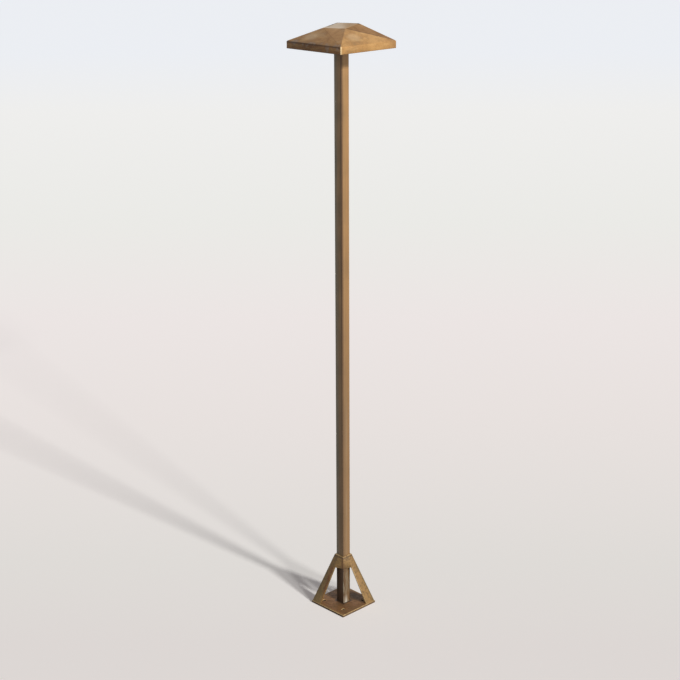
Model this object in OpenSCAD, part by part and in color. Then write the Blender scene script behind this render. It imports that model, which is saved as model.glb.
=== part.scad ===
// Path light in aged brass: a pyramid hat on a tall square stem, held by an open pyramid brace
// on a square plate. Origin at the centre of the plate's underside, Z up, in millimetres.
// The hat's front corner, its right corner and the legs' corners are given below by their signs
// in X and Y: front is [1, -1], right is [1, 1], back is [-1, 1] and left is [-1, -1].

/* [Base plate] */
// Side of the square base plate
plate_w = 120; // [112:1:130]
// Thickness of the base plate
plate_t = 6; // [5:0.5:8]
// Bevel along the top edges of the base plate
plate_bevel = 1.2; // [0.6:0.1:1.6]
// Distance between neighbouring mounting holes
hole_spacing = 72; // [64:1:76]
// Diameter of a mounting hole
hole_d = 6; // [5:0.25:7]
// Diameter of a mounting hole's countersink at the top face
hole_sink_d = 10; // [8.5:0.25:11]

/* [Brace] */
// Height of the brace above the plate
brace_h = 138.5; // [125:0.5:160]
// Height of the collar at the top of the brace
collar_h = 34; // [26:1:44]
// Wall of the collar
collar_wall = 2.9; // [2.4:0.1:4]
// Width of each wing of a leg at the plate
wing_foot_w = 30; // [24:1:34]
// Width of each wing of a leg at the top of the collar
wing_head_w = 17; // [12:0.5:20]
// Thickness of each wing of a leg, measured level
wing_t = 5; // [4:0.25:6]
// Side of the screw pad inside the foot of a leg
pad_w = 12; // [11:0.5:13]
// Height of the screw pad inside the foot of a leg
pad_h = 10; // [8:0.5:12]

/* [Stem] */
// Side of the square stem tube
stem_w = 25.4; // [24:0.1:28]
// Wall of the stem tube
stem_wall = 1.6; // [1.2:0.1:2]
// Radius on the stem tube's four edges
stem_edge_r = 1; // [0.6:0.1:1.4]
// Length of the stem tube
stem_len = 1476; // [600:1:1800]
// Length of the stem tube hidden inside the hat
stem_inside = 9; // [6:0.5:12]

/* [Hat] */
// Side of the square hat
hat_w = 184.5; // [176:0.5:196]
// Height of the hat's upright skirt
skirt_h = 17.5; // [14:0.5:22]
// Rise of the roof from the skirt to the middle of the crown
roof_rise = 35.5; // [34:0.5:40]
// Side of the square crown facet on top of the roof
crown_w = 61.5; // [52:0.5:70]
// Turn of the crown facet against the skirt
crown_turn = 13; // [0:1:20]
// Fall of the crown facet towards the front corner
crown_fall = 6.5; // [0:0.5:8]
// Wall of the cast hat
hat_wall = 2.5; // [2:0.1:3]
// Side of the square boss under the crown
boss_w = 26; // [25:0.5:30]
// Length of the stem head that the boss grips
boss_grip = 11; // [9:0.5:13]

/* [Stem head and lamp bracket] */
// Length of the head's spigot inside the stem tube
spigot_l = 25; // [20:1:35]
// Thickness of the head's shoulder on top of the tube
shoulder_t = 5; // [4:0.5:6]
// Side of the head's square tenon
tenon_w = 15; // [14:0.25:15.5]
// Height of the head's tenon above the shoulder
tenon_h = 28; // [27:0.5:30]
// Diameter of the wire bore through the head
wire_bore_d = 9; // [8.5:0.25:10]
// Thickness of the lamp bracket's sheet
bracket_t = 1.5; // [1:0.1:2]
// Distance from the stem's axis to the face of a bracket tab that carries a socket
tab_x = 18; // [17:0.5:20]
// Width of the bracket's tabs and of the lamp sockets
socket_w = 22; // [21:0.5:24]
// Height of a lamp socket
socket_h = 12; // [11:0.5:13]
// Depth of a lamp socket
socket_l = 8.5; // [8:0.25:10]
// Height of the lamps' axis above the top of the stem tube
lamp_rise = 12.5; // [12:0.25:13]

/* [Lamps] */
// Diameter of a lamp's clear cover
lamp_d = 11; // [9:0.5:12]
// Length of a lamp's clear cover
cover_l = 22; // [18:0.5:24]
// Wall of a lamp's clear cover
cover_wall = 0.8; // [0.6:0.1:1]
// Length of a lamp's white base
lamp_base_l = 6; // [5:0.5:7]
// Distance between a lamp's two pins
pin_pitch = 4; // [3.5:0.1:4.5]
// Diameter of a lamp pin
pin_d = 0.7; // [0.6:0.05:0.9]
// Length of a lamp pin outside the lamp
pin_l = 7; // [6:0.25:7.5]
// Lamp bodies' distance from the socket that they plug into
lamp_gap = 0.3; // [0.2:0.05:0.5]

/* [Wiring] */
// Diameter of an insulated socket lead
lead_d = 1.8; // [1.4:0.1:2]
// Inner bend radius added to a lead where it turns down into the stem
lead_bend_r = 5; // [4.5:0.25:5.5]
// Diameter of the crimp splices on the leads
splice_d = 7; // [6.5:0.25:7.5]
// Length of the crimp splices on the leads
splice_l = 14; // [10:1:20]
// Diameter of the cable bushing's bore
bushing_bore_d = 7; // [6:0.25:8]

/* [Fits] */
// Gap each side between the stem tube and the collar or an insert
slip_gap = 0.3; // [0.15:0.05:0.4]
// Gap round a screw, a pin or a bushing in its hole
screw_gap = 0.1; // [0.05:0.01:0.15]

/* [Hidden] */
$fn = 48;

// Cuts run this far past the faces that they open
past = 1;

// Screws stand out this far, and blind holes run this far beyond their tips
screw_proud = 0.5;
tip_room = 1;

// Levels
stem_top = plate_t + stem_len;
brace_top = plate_t + brace_h;
skirt_z = stem_top - stem_inside;
eave_z = skirt_z + skirt_h;
crown_z = eave_z + roof_rise;
shoulder_top = stem_top + shoulder_t;
tenon_top = shoulder_top + tenon_h;
boss_z = tenon_top - boss_grip;
lamp_z = stem_top + lamp_rise;

// Brace
collar_w = stem_w + 2 * (slip_gap + collar_wall);
foot_half = plate_w / 2 - plate_bevel;
pad_c = foot_half - wing_t - pad_w / 2;
pad_cap = 2;
lean = (foot_half - collar_w / 2) / brace_h;
flare_inset = 0.5;
flare_half = collar_w / 2 + lean * collar_h - flare_inset;
flare_w = wing_head_w + (wing_foot_w - wing_head_w) * collar_h / brace_h - 2 * flare_inset;
collar_screw_drop = 10;
collar_screw_l = collar_wall + slip_gap + lean * collar_screw_drop + screw_proud;

// Roof: where the inner faces of a wall of even thickness meet
roof_angle = atan2(roof_rise, (hat_w - crown_w) / 2);
eave_drop = hat_wall * (1 / cos(roof_angle) - tan(roof_angle));
crown_inset = hat_wall * (1 / cos(roof_angle) - 1) / tan(roof_angle);

// Inserts and sockets
insert_w = stem_w - 2 * stem_wall - slip_gap;
socket_face = tab_x + socket_l;
lamp_x = socket_face + lamp_gap;
bracket_inset = 0.7;
bracket_hole_floor = 0.5;
slot_sill = 1;

// Leads and splices
lead_x = 1.6;
lead_y = 2.2;
lead_room = 1;
lead_slot_w = 2 * (lead_y + lead_room) + lead_d;
lead_slot_top = lamp_z + lead_d / 2 + lead_room;
splice_gap = 0.6;
splice_y = (splice_d + splice_gap) / 2;
splice_drop = 5;
splice_top = stem_top - spigot_l - splice_drop;

// Fasteners: [thread diameter, head diameter, head height, hex key size]
plate_screw = [5, 9.2, 2.8, 3];
foot_screw = [3, 5.8, 1.7, 2];
head_screw = [3, 5, 1.2, 2];
bracket_screw = [2.4, 4.2, 1.3, 1.5];
socket_screw = [2.4, 4, 1.4, 1.5];
grub_screw = [4, 0, 0, 2];
grub_socket_l = 2;
key_depth = 0.7;
foot_screw_off = 7.4;
bracket_screw_x = 10.2;
socket_screw_in = 2.6;
socket_screw_y = socket_w / 2 - socket_screw_in;
frame_screw_l = plate_t + pad_h - pad_cap - tip_room;
foot_screw_bite = 10;
foot_screw_l = plate_t + foot_screw_bite;
foot_l = 30;

// Cable bushing: body through the plate and a flange in a recess under it
bushing_d = 11;
bushing_flange_d = 14;
bushing_flange_t = 2;
bushing_lift = 0.4;

// Countersinks of the mounting holes, at 90 degrees
hole_sink_t = (hole_sink_d - hole_d) / 2;

// Lamp: the board's room inside the cover, an emitter, and the cover's rounded end
board_side_room = 1.3;
board_end_room = 2;
emitter = [1.2, 2, 2.8];
cover_edge_r = 2;

// A block centred in X and Y that stands on its lower face
module block(w, d, h) {
    translate([-w / 2, -d / 2, 0]) cube([w, d, h]);
}

// A square with rounded corners, from two bars and four circles
module rounded_square(w, r) {
    square([w, w - 2 * r], center = true);
    square([w - 2 * r, w], center = true);
    for (x = [-1, 1], y = [-1, 1]) translate([x, y] * (w / 2 - r)) circle(r);
}

// The four corners of a level rectangle that starts at corner p
function level_rect(p, size) = [
    for (c = [[0, 0], [1, 0], [1, 1], [0, 1]]) [p.x + c.x * size.x, p.y + c.y * size.y, p.z]
];

// A bar of level section that leans and narrows from foot to head
module leaning_bar(foot, foot_size, head, head_size) {
    polyhedron(
        points = concat(level_rect(foot, foot_size), level_rect(head, head_size)),
        faces = [[0, 1, 2, 3], [7, 6, 5, 4], [4, 5, 1, 0], [5, 6, 2, 1], [6, 7, 3, 2], [7, 4, 0, 3]]
    );
}

// Countersunk screw: the head's flat face at z = 0, its shank towards +Z
module sunk_screw(s, length) {
    difference() {
        union() {
            cylinder(d1 = s[1], d2 = s[0], h = s[2]);
            cylinder(d = s[0], h = length);
        }
        translate([0, 0, -past]) cylinder(d = s[3], h = past + s[2] * key_depth, $fn = 6);
    }
}

// Room for a countersunk screw
module sunk_hole(s, length) {
    cylinder(d1 = s[1] + 2 * screw_gap, d2 = s[0] + 2 * screw_gap, h = s[2]);
    cylinder(d = s[0] + 2 * screw_gap, h = length);
    translate([0, 0, -past]) cylinder(d = s[1] + 2 * screw_gap, h = past + 0.01);
}

// Round-headed screw: seated face at z = 0, head towards -Z, shank towards +Z
module headed_screw(s, length) {
    difference() {
        union() {
            translate([0, 0, -s[2]]) cylinder(d = s[1], h = s[2]);
            cylinder(d = s[0], h = length);
        }
        translate([0, 0, -s[2] - past]) cylinder(d = s[3], h = past + s[2] * key_depth, $fn = 6);
    }
}

// Grub screw: flat tip at z = 0, hex socket at its far end
module grub(s, length) {
    difference() {
        cylinder(d = s[0], h = length);
        translate([0, 0, length - grub_socket_l])
            cylinder(d = s[3], h = grub_socket_l + past, $fn = 6);
    }
}

// Profile of the plate seen along one side: square below, bevelled above
module plate_profile() {
    polygon([
        [-plate_w / 2, 0], [plate_w / 2, 0], [plate_w / 2, plate_t - plate_bevel],
        [foot_half, plate_t], [-foot_half, plate_t], [-plate_w / 2, plate_t - plate_bevel]
    ]);
}

module plate_bar() {
    rotate([90, 0, 0]) linear_extrude(plate_w, center = true) plate_profile();
}

module base_plate() {
    color("peru") difference() {
        intersection() {
            plate_bar();
            rotate(90) plate_bar();
        }
        for (x = [-1, 1], y = [-1, 1]) translate([x, y, 0] * hole_spacing / 2) {
            translate([0, 0, -past]) cylinder(d = hole_d, h = plate_t + 2 * past);
            translate([0, 0, plate_t - hole_sink_t])
                cylinder(d1 = hole_d, d2 = hole_sink_d, h = hole_sink_t);
        }
        translate([0, 0, -past]) cylinder(d = bushing_d + 2 * screw_gap, h = plate_t + 2 * past);
        translate([0, 0, -past])
            cylinder(d = bushing_flange_d + 2 * screw_gap, h = past + bushing_lift + bushing_flange_t);
        for (s = [-1, 1]) {
            translate([s * pad_c, s * pad_c, bushing_lift]) sunk_hole(plate_screw, plate_t + past);
            translate([s * foot_screw_off, s * -foot_screw_off, bushing_lift])
                sunk_hole(foot_screw, plate_t + past);
        }
    }
}

module cable_bushing() {
    color("dimgray") difference() {
        translate([0, 0, bushing_lift]) {
            cylinder(d = bushing_flange_d, h = bushing_flange_t);
            cylinder(d = bushing_d, h = plate_t - bushing_lift);
        }
        cylinder(d = bushing_bore_d, h = plate_t + past);
    }
}

// One leg at the corner [1, 1]: two wings that meet in a ridge, and a screw pad in the foot
module leg() {
    for (turn = [0, 1]) mirror([turn, -turn, 0]) leaning_bar(
        [foot_half - wing_t, foot_half - wing_foot_w, plate_t], [wing_t, wing_foot_w],
        [collar_w / 2 - wing_t, collar_w / 2 - wing_head_w, brace_top], [wing_t, wing_head_w]
    );
    translate([pad_c, pad_c, plate_t] - [pad_w, pad_w, 0] / 2)
        cube([pad_w + past, pad_w + past, pad_h]);
}

// Collar: square at the top, flared at the bottom to the wings of the legs
module collar() {
    c = collar_w / 2;
    f = flare_half;
    e = flare_half - flare_w;
    hull() {
        translate([0, 0, brace_top - past]) block(collar_w, collar_w, past);
        translate([0, 0, brace_top - collar_h]) linear_extrude(past)
            polygon([[c, -c], [f, e], [f, f], [e, f], [-c, c], [-f, -e], [-f, -f], [-e, -f]]);
    }
}

module brace_frame() {
    color("darkgoldenrod") difference() {
        union() {
            collar();
            for (turn = [0, 180]) rotate(turn) leg();
        }
        translate([0, 0, plate_t]) block(stem_w + 2 * slip_gap, stem_w + 2 * slip_gap, brace_h + past);
        for (s = [-1, 1]) translate([s * pad_c, s * pad_c, plate_t - past])
            cylinder(d = plate_screw[0] + 2 * screw_gap, h = past + pad_h - pad_cap);
        on_collar_screws() translate([0, 0, -past])
            cylinder(d = grub_screw[0] + 2 * screw_gap, h = collar_screw_l + 2 * past);
    }
}

module frame_screws() {
    color("goldenrod") for (s = [-1, 1]) translate([s * pad_c, s * pad_c, bushing_lift])
        sunk_screw(plate_screw, frame_screw_l);
}

// Places things on the two collar faces that turn away from the front corner
module on_collar_screws() {
    for (turn = [0, 90]) translate([0, 0, brace_top - collar_screw_drop])
        rotate(turn) rotate([-90, 0, 0]) translate([0, 0, stem_w / 2]) children();
}

module collar_screws() {
    color("dimgray") on_collar_screws() grub(grub_screw, collar_screw_l);
}

module stem() {
    color("burlywood") difference() {
        translate([0, 0, plate_t]) linear_extrude(stem_len) difference() {
            rounded_square(stem_w, stem_edge_r);
            square(stem_w - 2 * stem_wall, center = true);
        }
        on_head_screws() sunk_hole(head_screw, stem_wall + past);
    }
}

module stem_foot() {
    color("darkkhaki") difference() {
        translate([0, 0, plate_t]) block(insert_w, insert_w, foot_l);
        cylinder(d = wire_bore_d, h = plate_t + foot_l + past);
        for (s = [-1, 1]) translate([s * foot_screw_off, s * -foot_screw_off, bushing_lift])
            cylinder(d = foot_screw[0] + 2 * screw_gap, h = foot_screw_l + tip_room);
    }
}

module foot_screws() {
    color("silver") for (s = [-1, 1])
        translate([s * foot_screw_off, s * -foot_screw_off, bushing_lift])
            sunk_screw(foot_screw, foot_screw_l);
}

// Places countersunk screws on the stem's two Y faces, inside the hat
module on_head_screws() {
    for (turn = [0, 180]) translate([0, 0, stem_top - stem_inside / 2])
        rotate(turn) rotate([-90, 0, 0]) translate([0, 0, -stem_w / 2]) children();
}

module stem_head() {
    color("darkkhaki") difference() {
        union() {
            translate([0, 0, stem_top - spigot_l]) block(insert_w, insert_w, spigot_l);
            translate([0, 0, stem_top]) block(stem_w, stem_w, shoulder_t);
            translate([0, 0, shoulder_top]) block(tenon_w, tenon_w, tenon_h);
        }
        translate([0, 0, stem_top - spigot_l - past])
            cylinder(d = wire_bore_d, h = lead_slot_top - stem_top + spigot_l + past);
        translate([0, 0, shoulder_top + slot_sill])
            block(tenon_w + 2 * past, lead_slot_w, lead_slot_top - shoulder_top - slot_sill);
        on_head_screws() cylinder(d = head_screw[0] + 2 * screw_gap, h = stem_w / 2);
        for (s = [-1, 1]) translate([s * bracket_screw_x, 0, stem_top + bracket_hole_floor])
            cylinder(d = bracket_screw[0] + 2 * screw_gap, h = shoulder_t + past);
    }
}

module head_screws() {
    color("silver") on_head_screws() sunk_screw(head_screw, (stem_w - wire_bore_d) / 2 - tip_room);
}

// Folded sheet over the tenon: a foot on the shoulder and an upright tab on each side
module lamp_bracket() {
    tab_h = lamp_z + socket_h / 2 - shoulder_top;
    color("darkgoldenrod") difference() {
        translate([0, 0, shoulder_top]) {
            block(2 * tab_x, stem_w - 2 * bracket_inset, bracket_t);
            for (s = [-1, 1]) translate([s * (tab_x - bracket_t / 2), 0, 0])
                block(bracket_t, socket_w, tab_h);
        }
        translate([0, 0, shoulder_top - past])
            block(tenon_w + slip_gap, tenon_w + slip_gap, bracket_t + 2 * past);
        for (s = [-1, 1]) translate([s * bracket_screw_x, 0, shoulder_top - past])
            cylinder(d = bracket_screw[0] + 2 * screw_gap, h = bracket_t + 2 * past);
        translate([0, 0, lamp_z - lead_d / 2 - lead_room])
            block(2 * (tab_x + past), lead_slot_w, lead_d + 2 * lead_room);
        on_socket_screws() translate([0, 0, socket_l - past])
            cylinder(d = socket_screw[0] + 2 * screw_gap, h = bracket_t + 2 * past);
    }
}

module bracket_screws() {
    color("silver") for (s = [-1, 1])
        translate([s * bracket_screw_x, 0, shoulder_top + bracket_t]) mirror([0, 0, 1])
            headed_screw(bracket_screw, bracket_t + shoulder_t - bracket_hole_floor - tip_room);
}

// Places things on the socket faces, with Z pointing back towards the stem
module on_socket_screws() {
    for (turn = [0, 180], y = [-1, 1]) rotate(turn)
        translate([socket_face, y * socket_screw_y, lamp_z]) rotate([0, -90, 0]) children();
}

// Puts a piece that is drawn on the +X side on the side s
module on_side(s) {
    rotate(s > 0 ? 0 : 180) children();
}

module socket(s) {
    color("ivory") difference() {
        on_side(s) translate([tab_x, -socket_w / 2, lamp_z - socket_h / 2])
            cube([socket_l, socket_w, socket_h]);
        on_side(s) for (y = [-1, 1])
            translate([socket_face - pin_l, y * pin_pitch / 2, lamp_z]) rotate([0, 90, 0])
                cylinder(d = pin_d + 2 * screw_gap, h = pin_l + past);
        on_socket_screws() translate([0, 0, -past])
            cylinder(d = socket_screw[0] + 2 * screw_gap, h = socket_l + 2 * past);
    }
}

module socket_screws() {
    color("silver") on_socket_screws() headed_screw(socket_screw, socket_l + bracket_t + screw_proud);
}

module lamp_base(s) {
    color("white") on_side(s) translate([lamp_x, 0, lamp_z]) rotate([0, 90, 0]) {
        cylinder(d = lamp_d, h = lamp_base_l);
        for (y = [-1, 1]) translate([0, y * pin_pitch / 2, -pin_l])
            cylinder(d = pin_d, h = pin_l + lamp_base_l / 2);
    }
}

// Six-sided board with a row of emitters on each side
module lamp_board(s) {
    post_r = lamp_d / 2 - cover_wall - board_side_room;
    post_l = cover_l - cover_wall - board_end_room;
    color("gold") on_side(s) translate([lamp_x + lamp_base_l, 0, lamp_z]) rotate([0, 90, 0]) {
        cylinder(r = post_r, h = post_l, $fn = 6);
        for (turn = [30:60:330], z = [0.2, 0.5, 0.8])
            rotate(turn) translate([post_r * cos(30), 0, post_l * z]) cube(emitter, center = true);
    }
}

module lamp_cover(s) {
    r = lamp_d / 2;
    color("azure") on_side(s) translate([lamp_x + lamp_base_l, 0, lamp_z]) rotate([0, 90, 0])
        rotate_extrude() difference() {
            union() {
                square([r, cover_l - cover_edge_r]);
                square([r - cover_edge_r, cover_l]);
                translate([r, cover_l] - [1, 1] * cover_edge_r) circle(cover_edge_r);
            }
            translate([-past, -past])
                square([r - cover_wall + past, cover_l - cover_edge_r + past]);
            translate([-past, -past])
                square([r - cover_edge_r + past, cover_l - cover_wall + past]);
            translate([-2 * r, -past]) square([2 * r, cover_l + 2 * past]);
        }
}

// One lead: out of the socket's back, round a bend and down the stem to its splice
module lead() {
    bend_x = lead_x + lead_bend_r;
    translate([bend_x, lead_y, lamp_z]) rotate([0, 90, 0]) cylinder(d = lead_d, h = tab_x - bend_x);
    translate([bend_x, lead_y, lamp_z - lead_bend_r]) rotate([90, 0, 0])
        rotate(90) rotate_extrude(angle = 90) translate([lead_bend_r, 0]) circle(d = lead_d);
    translate([lead_x, lead_y, splice_top])
        cylinder(d = lead_d, h = lamp_z - lead_bend_r - splice_top);
}

module socket_leads() {
    color("black") for (x = [0, 1], y = [0, 1]) mirror([x, 0, 0]) mirror([0, y, 0]) lead();
}

module lead_splices() {
    color("steelblue") for (y = [-1, 1]) translate([0, y * splice_y, splice_top - splice_l]) {
        cylinder(d = splice_d, h = splice_l);
        sphere(d = splice_d);
    }
}

// Solid form of the hat or of its hollow: upright sides below, the turned crown facet above
module hat_form(side, base, eave, crown_side, crown_middle) {
    hull() {
        translate([0, 0, base]) block(side, side, eave - base);
        translate([0, 0, crown_middle]) rotate(a = crown_fall, v = [1, 1, 0]) rotate(crown_turn)
            translate([0, 0, -1]) block(crown_side, crown_side, 1);
    }
}

module hat_shell() {
    color("peru") difference() {
        union() {
            difference() {
                hat_form(hat_w, skirt_z, eave_z, crown_w, crown_z);
                hat_form(
                    hat_w - 2 * hat_wall, skirt_z - past, eave_z - eave_drop,
                    crown_w - 2 * crown_inset, crown_z - hat_wall
                );
            }
            intersection() {
                translate([0, 0, boss_z]) block(boss_w, boss_w, crown_z - boss_z);
                hat_form(hat_w, skirt_z, eave_z, crown_w, crown_z);
            }
        }
        translate([0, 0, boss_z - past])
            block(tenon_w + slip_gap, tenon_w + slip_gap, tenon_top - boss_z + past);
        on_hat_screws() translate([0, 0, -past])
            cylinder(d = grub_screw[0] + 2 * screw_gap, h = boss_w / 2);
    }
}

// Places things on the boss's two Y faces, starting at the tenon
module on_hat_screws() {
    for (turn = [0, 180]) translate([0, 0, tenon_top - boss_grip / 2])
        rotate(turn) rotate([-90, 0, 0]) translate([0, 0, tenon_w / 2]) children();
}

module hat_screws() {
    color("dimgray") on_hat_screws() grub(grub_screw, (boss_w - tenon_w) / 2 + screw_proud);
}

base_plate();
cable_bushing();
brace_frame();
frame_screws();
collar_screws();
stem();
stem_foot();
foot_screws();
stem_head();
head_screws();
lamp_bracket();
bracket_screws();
socket(-1);  // socket_left
socket(1);  // socket_right
socket_screws();
lamp_base(-1);  // lamp_base_left
lamp_base(1);  // lamp_base_right
lamp_board(-1);  // lamp_board_left
lamp_board(1);  // lamp_board_right
lamp_cover(-1);  // lamp_cover_left
lamp_cover(1);  // lamp_cover_right
socket_leads();
lead_splices();
hat_shell();
hat_screws();
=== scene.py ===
# %% [markdown]
# # A path light in aged brass
# The light is a square cast hat on a tall square tube. An open brace of two legs holds the tube
# on a square plate, and two small lamps hang under the hat. The CAD model says where every piece
# sits, so this script loads it as a frame. It models the castings, the tube, the bracket, the
# sockets and the lamps again with softened edges, and gives each piece a finish with its own wear.

# %% Load the frame
from math import atan2, cos, pi, radians, sin, tan

import bmesh
import bpy
from mathutils import Matrix, Vector


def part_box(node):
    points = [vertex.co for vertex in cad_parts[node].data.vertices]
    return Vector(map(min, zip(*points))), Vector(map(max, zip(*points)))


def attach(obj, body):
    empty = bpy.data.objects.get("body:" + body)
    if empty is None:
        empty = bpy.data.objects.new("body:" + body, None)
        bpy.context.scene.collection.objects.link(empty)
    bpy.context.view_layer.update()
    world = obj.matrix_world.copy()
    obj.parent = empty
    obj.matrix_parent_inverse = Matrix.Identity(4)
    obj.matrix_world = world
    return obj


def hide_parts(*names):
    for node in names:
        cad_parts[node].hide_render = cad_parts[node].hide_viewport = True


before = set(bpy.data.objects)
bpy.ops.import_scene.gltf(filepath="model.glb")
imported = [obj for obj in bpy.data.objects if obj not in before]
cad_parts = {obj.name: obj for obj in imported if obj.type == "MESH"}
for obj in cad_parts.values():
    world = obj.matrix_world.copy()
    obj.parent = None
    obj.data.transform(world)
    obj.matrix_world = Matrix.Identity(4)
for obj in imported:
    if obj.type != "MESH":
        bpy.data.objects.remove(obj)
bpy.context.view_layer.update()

# %% [markdown]
# ## The camera
# The photograph looks down on the plate's front corner from a little above the hat. Upright edges
# stay nearly parallel in it, which asks for a long lens from a few metres away. The camera looks
# along the plate's diagonal, so that two faces of every square piece show.

# %% Place the camera
CAMERA_REACH = 3.500
CAMERA_SIDE = 0.0445
CAMERA_HEIGHT = 1.891
CAMERA_TILT = 18.16
CAMERA_TURN = 45.83
CAMERA_ROLL = -0.25
CAMERA_LENS = 76.97

toward_camera = Vector((1, -1, 0)).normalized()
to_the_right = Vector((1, 1, 0)).normalized()
camera_data = bpy.data.cameras.new("camera")
camera_data.lens = CAMERA_LENS
camera_data.sensor_width = 36
camera_data.clip_end = 200
camera = bpy.data.objects.new("camera", camera_data)
camera.location = toward_camera * CAMERA_REACH + to_the_right * CAMERA_SIDE
camera.location.z = CAMERA_HEIGHT
camera.rotation_euler = (
    Matrix.Rotation(radians(CAMERA_TURN), 3, "Z")
    @ Matrix.Rotation(radians(90 - CAMERA_TILT), 3, "X")
    @ Matrix.Rotation(radians(CAMERA_ROLL), 3, "Z")
).to_euler()
bpy.context.scene.collection.objects.link(camera)
bpy.context.scene.camera = camera
print("camera at", [round(v, 3) for v in camera.location])

# %% [markdown]
# ## Sums of sockets
# A finish is a small program on nodes. Written as plain sums it is easier to read, so one class
# wraps an output of a node and turns the usual operators into Math nodes. All other nodes come
# from one method, which finishes and the world's sky share.


# %% A socket that can stand in a sum
class Wire:
    """An output of a node."""

    def __init__(self, nodes, socket):
        self.nodes = nodes
        self.socket = socket

    def math(self, operation, *values):
        sockets = dict(enumerate(values))
        return self.nodes.node("ShaderNodeMath", {"operation": operation}, sockets)

    def __add__(self, other):
        return self.math("ADD", self, other)

    def __sub__(self, other):
        return self.math("SUBTRACT", self, other)

    def __rsub__(self, other):
        return self.math("SUBTRACT", other, self)

    def __mul__(self, other):
        return self.math("MULTIPLY", self, other)

    def __truediv__(self, other):
        return self.math("DIVIDE", self, other)

    def __rtruediv__(self, other):
        return self.math("DIVIDE", other, self)

    def __pow__(self, other):
        return self.math("POWER", self, other)

    def __abs__(self):
        return self.math("ABSOLUTE", self)

    __radd__ = __add__
    __rmul__ = __mul__

    def at_least(self, other):
        return self.math("MAXIMUM", self, other)

    def at_most(self, other):
        return self.math("MINIMUM", self, other)

    def out(self, name):
        """Another output of the same node."""
        return Wire(self.nodes, self.socket.node.outputs[name])

    def ramp(self, low, high):
        """0 at low, 1 at high, with soft ends."""
        settings = {"interpolation_type": "SMOOTHSTEP"}
        sockets = {"Value": self, "From Min": low, "From Max": high}
        return self.nodes.node("ShaderNodeMapRange", settings, sockets)

    def near(self, middle, reach):
        """1 at the middle, falling softly to 0 at the given distance."""
        return 1 - abs(self - middle).ramp(0, reach)


def length(one, other):
    """The straight way between the ends of two legs at a right angle."""
    return (one * one + other * other) ** 0.5


# %% Nodes from one method
class Nodes:
    """The nodes of a material or of the world."""

    def __init__(self, owner):
        owner.use_nodes = True
        self.tree = owner.node_tree
        self.tree.nodes.clear()

    def node(self, kind, settings=None, sockets=None):
        """Any node: its type, its settings, then the values or links of its sockets."""
        made = self.tree.nodes.new(kind)
        for name, value in (settings or {}).items():
            if name == "stops":
                self.set_stops(made.color_ramp.elements, value)
            else:
                setattr(made, name, value)
        for name, value in (sockets or {}).items():
            by_id = {s.identifier: s for s in made.inputs}
            socket = by_id.get(name) or made.inputs[name]
            if isinstance(value, Wire):
                self.tree.links.new(value.socket, socket)
            else:
                socket.default_value = value
        shown = [s for s in made.outputs if s.enabled]
        return Wire(self, shown[0]) if shown else None

    @staticmethod
    def set_stops(elements, stops):
        while len(elements) < len(stops):
            elements.new(1.0)
        for element, (place, colour) in zip(elements, stops):
            element.position = place
            element.color = colour

    def show(self, output, seen, unseen):
        """Shows one shader to the camera, also in gloss and glass, and another to other light."""
        ray = self.node("ShaderNodeLightPath")
        looks = ray.out("Is Camera Ray") + ray.out("Is Glossy Ray") + ray.out("Is Transmission Ray")
        both = {"Fac": looks.at_most(1.0), 1: unseen, 2: seen}
        self.node(output, None, {"Surface": self.node("ShaderNodeMixShader", None, both)})


def tint(red, green, blue):
    """A colour written as it looks on screen, 0 to 255."""
    def light(v):
        v = v / 255
        return v / 12.92 if v <= 0.04045 else ((v + 0.055) / 1.055) ** 2.4
    return (light(red), light(green), light(blue), 1)


# %% A finish
class Finish(Nodes):
    """A material under way, with the colour that it has so far."""

    def __init__(self, name):
        self.material = bpy.data.materials.new(name)
        super().__init__(self.material)
        self.place = self.node("ShaderNodeTexCoord").out("Object")
        self.normal = self.place.out("Normal")
        self.colour = None

    def axis(self, name, wire=None):
        """One coordinate of a vector."""
        return self.node("ShaderNodeSeparateXYZ", None, {0: wire or self.place}).out(name)

    def facing(self, way, low, high):
        """1 on faces that look along an axis, such as X or -Y, and 0 on the others."""
        share = self.axis(way[-1], self.normal)
        return (share * -1 if way[0] == "-" else share).ramp(low, high)

    def stretched(self, scale, turn=(0, 0, 0)):
        """Object coordinates, scaled along each axis."""
        return self.node("ShaderNodeMapping", None, {
            "Vector": self.place, "Rotation": turn, "Scale": scale,
        })

    def noise(self, lumps, detail=4, rough=0.55, distort=0):
        """Cloudy values about 0.5, with this many lumps per metre, on all axes or on each."""
        place = self.place
        if isinstance(lumps, tuple):
            place, lumps = self.stretched(lumps), 1
        return self.node("ShaderNodeTexNoise", None, {
            "Vector": place, "Scale": lumps, "Detail": detail,
            "Roughness": rough, "Distortion": distort,
        })

    def mix(self, share, first, second, blend="MIX"):
        """A colour between two colours."""
        settings = {"data_type": "RGBA", "blend_type": blend}
        return self.node("ShaderNodeMix", settings, {
            "Factor_Float": share, "A_Color": first, "B_Color": second,
        })

    def paint(self, share, colour, blend="MIX"):
        """Lays a colour over the one so far."""
        self.colour = self.mix(share, self.colour, colour, blend)

    def bump(self, height, distance, strength):
        """A normal for a height between 0 and 1."""
        return self.node("ShaderNodeBump", None, {
            "Height": height, "Distance": distance, "Strength": strength,
        })

    def surface(self, **sockets):
        """The shader itself. Underscores in a name stand for spaces."""
        named = {name.replace("_", " "): value for name, value in sockets.items()}
        shader = self.node("ShaderNodeBsdfPrincipled", None, named)
        self.node("ShaderNodeOutputMaterial", None, {"Surface": shader})
        return self.material


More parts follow.
